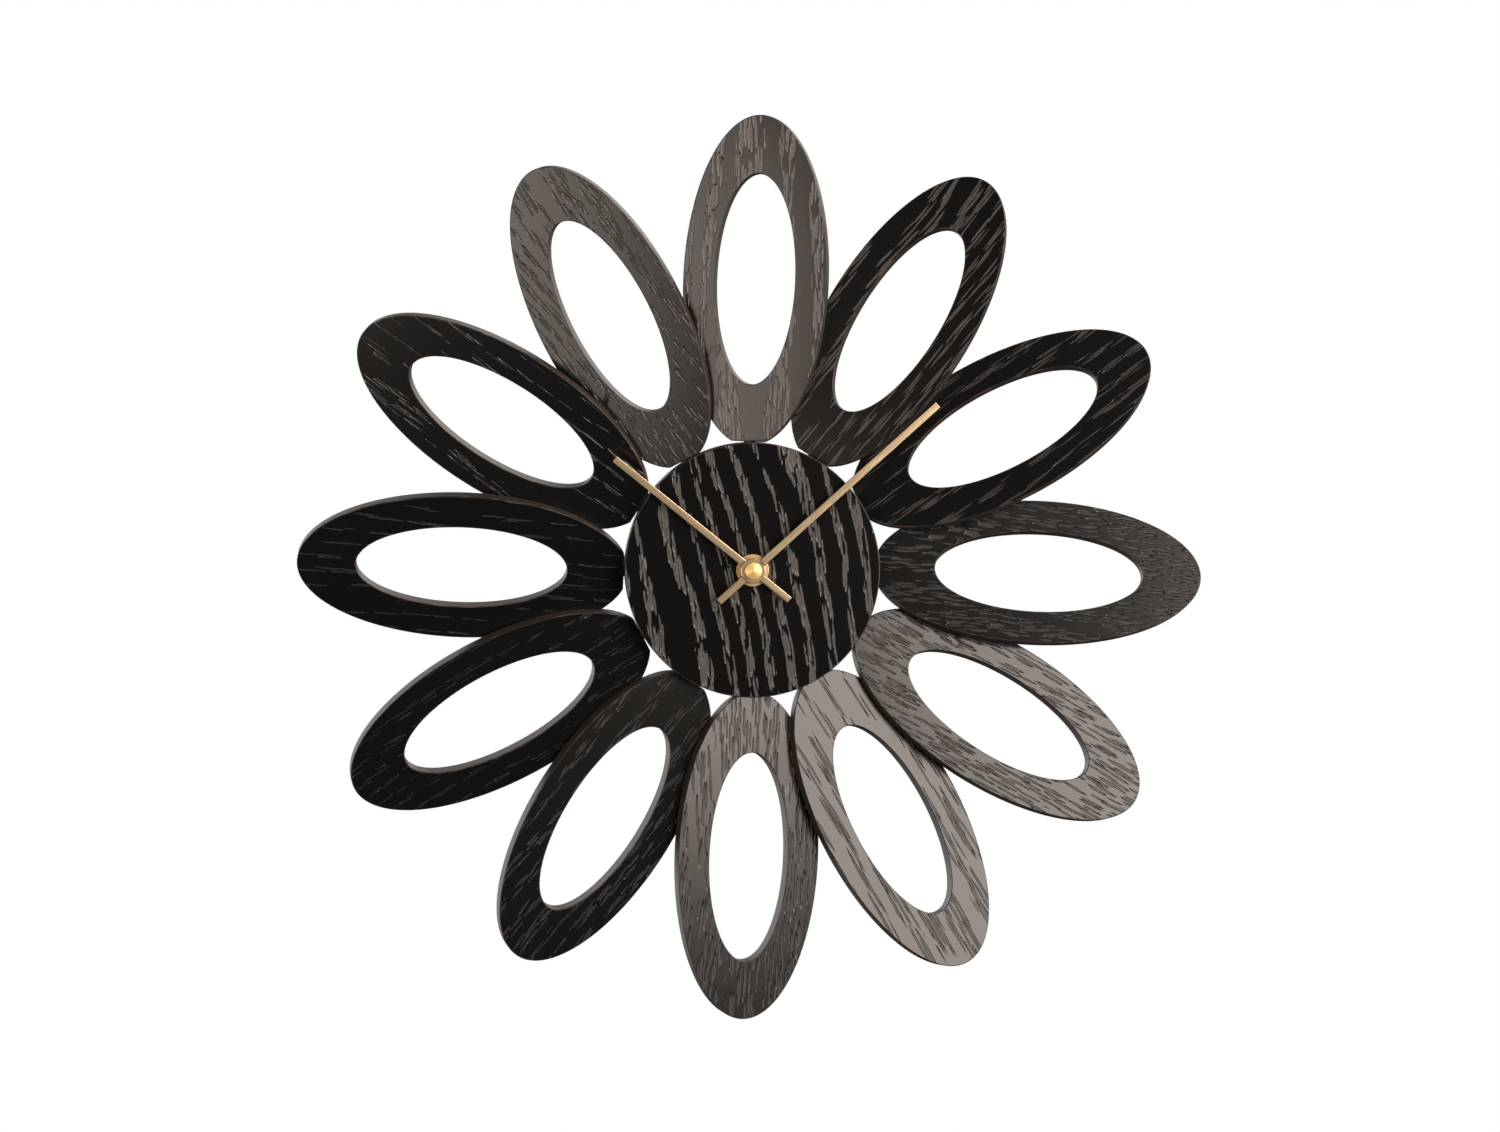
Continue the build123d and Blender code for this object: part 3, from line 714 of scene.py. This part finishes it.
# ---- the flower ------------------------------------------------------------------------------------
def ring_blank(name: str, outer: tuple[float, float], inner: tuple[float, float], offset: float,
               thickness: float, segments: int) -> Piece:
    """Elliptical ring of board in the wall's plane, its middle at y = 0, with sharp edges.

    Args:
        name: Name of the piece.
        outer: Half width and half height of the outline in millimetres.
        inner: Half width and half height of the hole.
        offset: Height of the hole's centre above the outline's.
        thickness: Thickness of the board.
        segments: Faces round the outline.
    """
    deselect()
    bpy.ops.mesh.primitive_circle_add(vertices=segments, radius=1.0, rotation=TO_WALL_PLANE,
                                      fill_type="NOTHING")
    piece = named(name)
    with editing(piece):
        bpy.ops.transform.resize(value=(outer[0] * MM, 1.0, outer[1] * MM))
        bpy.ops.mesh.extrude_edges_move()
        bpy.ops.transform.resize(value=(inner[0] / outer[0], 1.0, inner[1] / outer[1]),
                                 center_override=(0.0, 0.0, 0.0))
        bpy.ops.transform.translate(value=(0.0, 0.0, offset * MM))
        bpy.ops.mesh.select_all(action="SELECT")
        bpy.ops.mesh.extrude_region_move(TRANSFORM_OT_translate={"value": (0.0, thickness * MM, 0.0)})
        bpy.ops.mesh.select_all(action="SELECT")
        bpy.ops.transform.translate(value=(0.0, -thickness * MM / 2, 0.0))
        bpy.ops.mesh.normals_make_consistent(inside=False)
    return piece


def face_the_board(piece: Piece, face: Finish, edge: Finish, arris: Finish) -> None:
    """Lay veneer on the flat faces, paint on the sawn edges and a worn line between them.

    Args:
        piece: The board, before it is put in place, its faces square to Y.
        face: Finish of the flat faces.
        edge: Finish of the sawn edges.
        arris: Finish of the rounding between them.
    """
    flat, square = 0.98, 0.12
    piece.data.materials.clear()
    for finish in (face, edge, arris):
        piece.data.materials.append(finish.material())
    for polygon in piece.data.polygons:
        lean = abs(polygon.normal.y)
        polygon.material_index = 0 if lean > flat else 1 if lean < square else 2


@dataclass
class Flower:
    """Twelve tilted rings of veneered board round the dial, each over its clockwise neighbour."""

    petals: int = 12
    centre_radius: float = 126.8
    half_length: float = 72.5
    half_width: float = 31.8
    thickness: float = 9.0
    hole_half_length: float = 46.15
    hole_half_width: float = 17.8
    hole_offset: float = 0.7
    tilt: float = 10.7
    pitch: float = 2.25
    skew: float = 1.35
    turn: float = 0.95
    depth: float = 13.5
    root_radius: float = 56.3
    glue_gap: float = 0.1
    arris: float = 0.38
    segments: int = 160

    # the twelve leaves of veneer, from twelve o'clock; the pale pores of the leaves from eleven to two
    # o'clock are partly dust and partly painted light caught by the pore walls
    leaves = (Figure(0.62, 0.66, pore_dust_and_glint=1.0, slant=-2), Figure(0.62, 0.50, pore_dust_and_glint=0.45, slant=7, stretch=1.5),
              Figure(0.42, 0.40, pore_dust_and_glint=0.2, slant=-9, stretch=1.6), Figure(0.85, 0.50, slant=4, stretch=0.8),
              Figure(0.88, 0.34, slant=-3, stretch=1.3), Figure(0.66, 0.40, slant=-3, stretch=2.4),
              Figure(0.88, 0.42, slant=-1, stretch=1.4), Figure(0.60, 0.40, slant=4),
              Figure(0.45, 0.24, slant=-3), Figure(0.36, 0.26, slant=3, stretch=1.5),
              Figure(0.36, 0.26, slant=5, stretch=1.5), Figure(0.70, 0.40, pore_dust_and_glint=0.1, slant=-9))

    def place(self, index: int) -> Matrix:
        """Matrix that puts a petal, modelled flat round the origin, in the flower."""
        step = 360 / self.petals
        hung = Matrix.Translation((0, -self.depth * MM, 0)) \
            @ Matrix.Rotation(radians(self.turn + step * index), 4, "Y")
        leaned = Matrix.Rotation(radians(self.skew), 4, "Y") @ Matrix.Rotation(radians(self.pitch), 4, "X") \
            @ Matrix.Rotation(radians(-self.tilt), 4, "Z")
        return hung @ Matrix.Translation((0, 0, self.centre_radius * MM)) @ leaned

    def neighbour(self) -> Piece:
        """Plate of the petal that lies over this one, to cut its rebate with."""
        deselect()
        bpy.ops.mesh.primitive_cylinder_add(vertices=self.segments, radius=1.0, depth=1.0,
                                            rotation=TO_WALL_PLANE)
        plate = named("neighbour")
        grow = self.glue_gap
        with editing(plate):
            bpy.ops.transform.resize(value=((self.half_width + grow) * MM, (self.thickness + 2 * grow) * MM,
                                            (self.half_length + grow) * MM))
        plate.data.transform(self.place(0).inverted() @ self.place(-1))
        return plate

    def first(self) -> Piece:
        """Model one petal flat round the origin: ring, square root, soft edges and rebate."""
        petal = ring_blank("petal", (self.half_width, self.half_length),
                           (self.hole_half_width, self.hole_half_length), self.hole_offset,
                           self.thickness, self.segments)
        root = (self.root_radius - self.centre_radius) * MM
        with editing(petal):
            bpy.ops.mesh.bisect(plane_co=(0.0, 0.0, root), plane_no=(0.0, 0.0, 1.0), use_fill=True,
                                clear_inner=True)
        soften(petal, self.arris)
        face_the_board(petal, VENEER, BOARD_EDGE, ARRIS)
        subtract(petal, self.neighbour())
        smooth(petal)
        return petal

    def build(self) -> None:
        """Copy the petal round the flower, each with a different stretch of veneer."""
        pattern = self.first()
        for index in range(self.petals):
            number = f"{index + 1:02d}"
            petal = another(pattern, f"veneered_petal_{number}")
            self.leaves[index].lay(petal, seed=index + 1)
            petal.data.transform(self.place(index))
            finish_piece(petal, Bodies.CLOCK, f"petal_{number}")
        bpy.data.objects.remove(pattern)


@dataclass
class Dial:
    """Round veneered dial, plain but for its grain."""

    radius: float = 56.0
    back: float = 16.5
    front: float = 25.5
    hole_radius: float = 4.1
    arris: float = 0.4
    # pale pores on the dial: partly dust, partly painted light caught by the pore walls
    leaf: Figure = Figure(0.48, 0.66, pore_dust_and_glint=0.6, slant=-7)
    seed: float = 20.0

    def build(self) -> None:
        """Model the disc as a ring of board."""
        dial = ring_blank("veneered_dial", (self.radius, self.radius), (self.hole_radius, self.hole_radius),
                          0.0, self.front - self.back, 256)
        soften(dial, self.arris)
        face_the_board(dial, DIAL_VENEER, BOARD_EDGE, ARRIS)
        smooth(dial)
        self.leaf.lay(dial, self.seed)
        dial.data.transform(Matrix.Translation((0, -(self.back + self.front) / 2 * MM, 0)))
        finish_piece(dial, Bodies.CLOCK, "dial_disc")


# ---- hands and what clamps the movement ------------------------------------------------------------
@dataclass
class Hand:
    """Flat brushed hand with a round boss, square ends and bright bevels along its front."""

    name: str
    node: str
    body: Bodies
    reach: float
    tail: float
    width: float
    back: float
    front: float
    angle: float
    bore: float
    boss_radius: float = 5.4
    bevel: float = 0.28

    def build(self) -> None:
        """Fuse blade and boss, bore it, bevel the front and turn it to its time."""
        boss = turned(self.name, [(self.boss_radius, self.back), (self.boss_radius, self.front)],
                      segments=128)
        half = self.width / 2
        fuse(boss, box_tool((-half, -self.tail, self.back), (half, self.reach, self.front)))
        subtract(boss, turned("bore", [(self.bore, self.back - 1), (self.bore, self.front + 1)]))
        front = -self.front * MM
        bore = 1.2 * self.bore * MM
        with editing(boss):
            bpy.ops.mesh.remove_doubles(threshold=0.002 * MM)
            select_edges(boss, lambda edge: edge.calc_face_angle(0.0) > radians(40) and all(
                abs(v.co.y - front) < 0.01 * MM and Vector((v.co.x, v.co.z)).length > bore
                for v in edge.verts))
            bpy.ops.mesh.bevel(offset=self.bevel * MM, segments=2, affect="EDGES")
        smooth(boss)
        mark_grain(boss, seed=self.angle / 10)
        boss.data.transform(Matrix.Rotation(radians(self.angle), 4, "Y"))
        finish_piece(boss, self.body, self.node, HAND_BRASS)


@dataclass
class ShaftHardware:
    """Turned brass on the hand axis: bush, washer, slotted nut and cap."""

    dial_front: float = 25.5
    washer_radius: float = 7.1
    washer_front: float = 26.1
    nut_radius: float = 5.9
    nut_front: float = 27.9
    slot_half: float = 0.7
    slot_depth: float = 0.8
    bush_radius: float = 3.95
    bush_front: float = 28.2
    bush_bore: float = 2.56
    flange_radius: float = 6.0
    flange_back: float = 13.5
    flange_front: float = 14.5
    thread_from: float = 16.5
    thread_pitch: float = 0.75
    thread_depth: float = 0.3
    cap_radius: float = 3.7
    cap_back: float = 31.5
    cap_rim: float = 33.2
    cap_top: float = 34.0

    def washer(self) -> None:
        """Flat washer with a rounded rim."""
        bore = self.bush_radius + 0.1
        piece = tube("clamp_washer", bore, self.washer_radius, self.dial_front, self.washer_front)
        soften(piece, 0.18)
        smooth(piece)
        finish_piece(piece, Bodies.CLOCK, "dial_washer", TURNED_BRASS)

    def nut(self) -> None:
        """Round nut with a key slot across its face."""
        bore = self.bush_radius + 0.03
        piece = tube("clamp_nut", bore, self.nut_radius, self.washer_front, self.nut_front)
        reach = self.nut_radius + 1
        subtract(piece, box_tool((-reach, -self.slot_half, self.nut_front - self.slot_depth),
                                 (reach, self.slot_half, self.nut_front + 1)))
        soften(piece, 0.3)
        smooth(piece)
        finish_piece(piece, Bodies.CLOCK, "dial_nut", TURNED_BRASS)

    def bush(self) -> None:
        """Threaded bush with its flange inside the case."""
        profile = [(self.bush_bore, self.flange_back), (self.flange_radius, self.flange_back),
                   (self.flange_radius, self.flange_front), (self.bush_radius, self.flange_front)]
        root = self.bush_radius - self.thread_depth
        depth = self.thread_from
        while depth < self.dial_front - self.thread_pitch:
            profile += [(self.bush_radius, depth), (root, depth + self.thread_pitch / 2)]
            depth += self.thread_pitch
        profile += [(self.bush_radius, self.dial_front), (self.bush_radius, self.bush_front),
                    (self.bush_bore, self.bush_front)]
        piece = turned("threaded_brass_bush", profile, segments=64, hollow=True)
        smooth(piece, 20.0)
        finish_piece(piece, Bodies.CLOCK, "threaded_bush", TURNED_BRASS)

    def cap(self) -> None:
        """Cap nut: a short drum with a shallow cone on its face."""
        cone = self.cap_radius - 0.25
        piece = turned("turned_cap", [(self.cap_radius, self.cap_back), (self.cap_radius, self.cap_rim),
                                      (cone, self.cap_rim), (0.15, self.cap_top)])
        soften(piece, 0.16)
        smooth(piece, 25.0)
        finish_piece(piece, Bodies.MINUTE, "hand_cap", CAP_BRASS)

    def build(self) -> None:
        """Model the four pieces; the arbor and the hour wheel's tube stay CAD nodes."""
        self.bush()
        self.washer()
        self.nut()
        self.cap()


# ---- the back --------------------------------------------------------------------------------------
@dataclass
class Back:
    """Hub board, movement case, hanger, knob and battery, as seen from the wall side."""

    cell_radius: float = 7.1
    cell_depth: float = 7.3
    cell_height: float = -18.6
    cell_shoulder: float = -24.1
    cell_flat_end: float = 25.2
    cell_tip: float = -25.3
    cell_tip_radius: float = 2.6
    knob_centre: tuple[float, float] = (16.51, -2.17)
    knob_back: float = 0.4
    slot_half_length: float = 3.9
    slot_half_width: float = 0.7
    slot_depth: float = 1.5
    relief: float = 0.5           # depth of the marks on the case
    clear: float = -1.0           # depth, behind the case, where the tools begin
    ring_radius: float = 6.6
    ring_width: float = 0.9
    label_low: tuple[float, float] = (-22.5, -6.0)
    label_high: tuple[float, float] = (5.5, 12.0)
    latch_side: float = 25.9
    latch_half_width: float = 0.7
    latch_low: float = 3.0
    latch_high: float = 10.0
    pin_radius: float = 1.5
    pins = ((-22.5, 23.0), (22.5, 23.0), (16.5, 13.0))

    def hub(self) -> None:
        """Ring of board behind the dial, with soft arrises."""
        piece = softened_copy("hub_ring", "painted_hub_ring", 0.35)
        mark_grain(piece, seed=31.0)
        finish_piece(piece, Bodies.CLOCK, "hub_ring", HUB_BOARD)

    def rear_case(self) -> None:
        """Back half of the case: blank label recess, ring round the knob, latch slots and pin marks."""
        piece = softened_copy("movement_rear_case", "moulded_rear_case", 0.25)
        tools = [box_tool((*self.label_low, self.clear), (*self.label_high, self.relief)),
                 tube("tool", self.ring_radius, self.ring_radius + self.ring_width, self.clear, self.relief,
                      centre=self.knob_centre, segments=64)]
        for side in (-self.latch_side, self.latch_side):
            tools.append(box_tool((side - self.latch_half_width, self.latch_low, self.clear),
                                  (side + self.latch_half_width, self.latch_high, self.relief)))
        for pin in self.pins:
            tools.append(turned("tool", [(self.pin_radius, self.clear), (self.pin_radius, self.relief / 2)],
                                centre=pin, segments=32))
        subtract(piece, *tools)
        smooth(piece)
        finish_piece(piece, Bodies.CLOCK, "movement_rear_case", CASE_PLASTIC)

    def knob(self) -> None:
        """Ribbed knob with a coin slot across its head."""
        piece = softened_copy("setting_knob", "moulded_setting_knob", 0.15)
        x, z = self.knob_centre
        subtract(piece, box_tool((x - self.slot_half_length, z - self.slot_half_width, self.clear),
                                 (x + self.slot_half_length, z + self.slot_half_width,
                                  self.knob_back + self.slot_depth)))
        smooth(piece)
        finish_piece(piece, Bodies.KNOB, "setting_knob", KNOB_PLASTIC)

    def mouldings(self) -> None:
        """Front half of the case with moulded corners, and the stamped hanger."""
        finish_piece(softened_copy("movement_front_case", "moulded_front_case", 0.25), Bodies.CLOCK,
                     "movement_front_case", CASE_PLASTIC)
        finish_piece(softened_copy("hanger_plate", "stamped_hanger", 0.2), Bodies.CLOCK,
                     "hanger_plate", HANGER_STEEL)

    def cell(self) -> None:
        """Battery with rolled ends, a crimped groove and its raised tip."""
        near, far = self.cell_shoulder, self.cell_flat_end
        radius, tip = self.cell_radius, self.cell_tip_radius
        profile = [(tip - 0.3, self.cell_tip), (tip, self.cell_tip + 0.3), (tip, near),
                   (radius - 1.0, near), (radius - 0.3, near + 0.1), (radius, near + 0.5),
                   (radius, near + 1.6), (radius - 0.25, near + 1.9), (radius, near + 2.2),
                   (radius, far - 0.5), (radius - 0.3, far - 0.1), (radius - 1.0, far)]
        piece = turned("dry_cell", profile, segments=96)
        soften(piece, 0.12, segments=2, sharp=30.0)
        smooth(piece)
        lay = Matrix(((0, -1, 0, 0), (1, 0, 0, 0), (0, 0, 1, 0), (0, 0, 0, 1)))
        piece.data.transform(Matrix.Translation((0, -self.cell_depth * MM, self.cell_height * MM)) @ lay)
        finish_piece(piece, Bodies.BATTERY, "battery_cell", CELL_FILM)

    def build(self) -> None:
        """Model every piece of the back."""
        self.hub()
        self.rear_case()
        self.knob()
        self.mouldings()
        self.cell()


@dataclass
class InsideWorks:
    """The train, the motor and the electronics: CAD nodes with their own finishes."""

    finishes = {
        DOWEL_BEECH: ("root_dowels",),
        RUBBER: ("rubber_gasket",),
        TRAIN_PLASTIC: ("train_plate",),
        WHEEL_PLASTIC: ("rotor_pinion", "fifth_wheel", "fourth_wheel", "third_wheel", "centre_wheel",
                        "setting_wheel", "hour_wheel"),
        TURNED_BRASS: ("minute_arbor",),
        CONTACT_STEEL: ("battery_contact_negative", "battery_contact_positive"),
        LAMINATE: ("circuit_board",),
        CHIP_RESIN: ("driver_chip",),
        CRYSTAL_CAN: ("quartz_crystal",),
        BOBBIN_PLASTIC: ("coil_bobbin",),
        COPPER_WIRE: ("coil_winding",),
        SOFT_IRON: ("coil_core", "stator_plate"),
        MAGNET_METAL: ("rotor_magnet",),
    }

    def build(self) -> None:
        """Dress the CAD nodes."""
        for finish, nodes in self.finishes.items():
            finish.paint_nodes(*nodes)
            log.info("%s: %s", finish.name, ", ".join(nodes))


# ---- studio ----------------------------------------------------------------------------------------
def facing(right: float, up: float, distance: float, aim: Vector) -> Matrix:
    """Matrix of a light or camera that looks at a place of the clock.

    Args:
        right: Degrees right of the clock's face, as seen from the clock.
        up: Degrees above it.
        distance: Metres from the place.
        aim: The place.
    """
    level = cos(radians(up))
    away = Vector((sin(radians(right)) * level, -cos(radians(right)) * level, sin(radians(up))))
    return Matrix.Translation(aim + away * distance) @ away.to_track_quat("Z", "Y").to_matrix().to_4x4()


@dataclass
class SoftBox:
    """Rectangular studio light, placed by its direction as seen from the clock.

    Angles are in degrees, right of and above the clock's face.
    """

    name: str
    right: float
    up: float
    width: float
    height: float
    brightness: float
    colour: str
    distance: float = 2.6

    def build(self) -> None:
        """Hang the light and turn it to the clock."""
        light = bpy.data.lights.new(self.name, "AREA")
        light.shape = "RECTANGLE"
        light.size = 2 * self.distance * tan(radians(self.width / 2))
        light.size_y = 2 * self.distance * tan(radians(self.height / 2))
        light.energy = self.brightness * pi * light.size * light.size_y
        light.color = linear(self.colour)[:3]
        lamp = bpy.data.objects.new(self.name, light)
        lamp.matrix_world = facing(self.right, self.up, self.distance, Vector())
        bpy.context.scene.collection.objects.link(lamp)


@dataclass
class Studio:
    """Pale floor, white backdrop, soft lights before and behind the clock, and the camera."""

    camera_right: float = -3.03
    camera_up: float = 2.77
    camera_distance: float = 1.5
    aim_depth: float = 13.5
    focal_length: float = 81.5
    shift: tuple[float, float] = (-0.0008, 0.002)
    floor_height: float = -0.6
    floor_size: float = 1.0       # metres each way
    floor_middle: float = -2.9    # y of its centre, in front of the clock
    dim: float = 0.04

    def camera(self) -> None:
        """Point the camera at the flower's middle."""
        lens = bpy.data.cameras.new("camera")
        lens.lens = self.focal_length
        lens.shift_x, lens.shift_y = self.shift
        eye = bpy.data.objects.new("camera", lens)
        eye.matrix_world = facing(self.camera_right, self.camera_up, self.camera_distance,
                                  Vector((0, -self.aim_depth * MM, 0)))
        bpy.context.scene.collection.objects.link(eye)
        bpy.context.scene.camera = eye

    def floor(self) -> None:
        """Lay a square of floor lower than the clock and in front of it, kept out of reflections."""
        deselect()
        bpy.ops.mesh.primitive_plane_add(size=self.floor_size,
                                         location=(0, self.floor_middle, self.floor_height))
        floor = named("studio_floor")
        PaleFloor("pale_studio_floor").paint(floor)
        floor.visible_glossy = False

    def world(self) -> None:
        """White backdrop for the camera, dim surroundings for everything else."""
        world = bpy.data.worlds.new("studio")
        world.use_nodes = True
        tree = world.node_tree
        tree.nodes.clear()
        white, dim = (add(tree, "Background", {"Color": "#FFFFFF", "Strength": strength})
                      for strength in (1.0, self.dim))
        seen = add(tree, "LightPath").outputs["Is Camera Ray"]
        add(tree, "OutputWorld", {"Surface": add(tree, "MixShader", {0: seen, 1: dim, 2: white})})
        bpy.context.scene.world = world

    def build(self) -> None:
        """Set the studio up."""
        self.camera()
        self.floor()
        self.world()
        for box in (SoftBox("key", 37.0, 12.5, 44.0, 37.0, 8.4, "#FFF1E6"),
                    SoftBox("fill", -35.5, -4.0, 37.0, 21.0, 4.6, "#FFF0E4"),
                    SoftBox("wall_side_high", 148.0, 32.0, 44.0, 40.0, 3.6, "#FFF8F2"),
                    SoftBox("wall_side_low", -152.0, 4.0, 40.0, 44.0, 3.0, "#FFFFFF")):
            box.build()
        bpy.context.scene.view_settings.view_transform = "Standard"


def main() -> None:
    """Build the clock and the studio, in order."""
    logging.basicConfig(level=logging.INFO, format="%(name)s: %(message)s")
    Flower().build()
    Dial().build()
    Hand("brushed_hour_hand", "hour_hand", Bodies.HOUR, reach=77.8, tail=20.7, width=3.05, back=28.8,
         front=29.6, angle=309.0, bore=2.51).build()
    Hand("brushed_minute_hand", "minute_hand", Bodies.MINUTE, reach=108.5, tail=20.3, width=3.2,
         back=30.7, front=31.5, angle=48.1, bore=1.21).build()
    ShaftHardware().build()
    Back().build()
    InsideWorks().build()
    Studio().build()


if __name__ == "__main__":
    main()
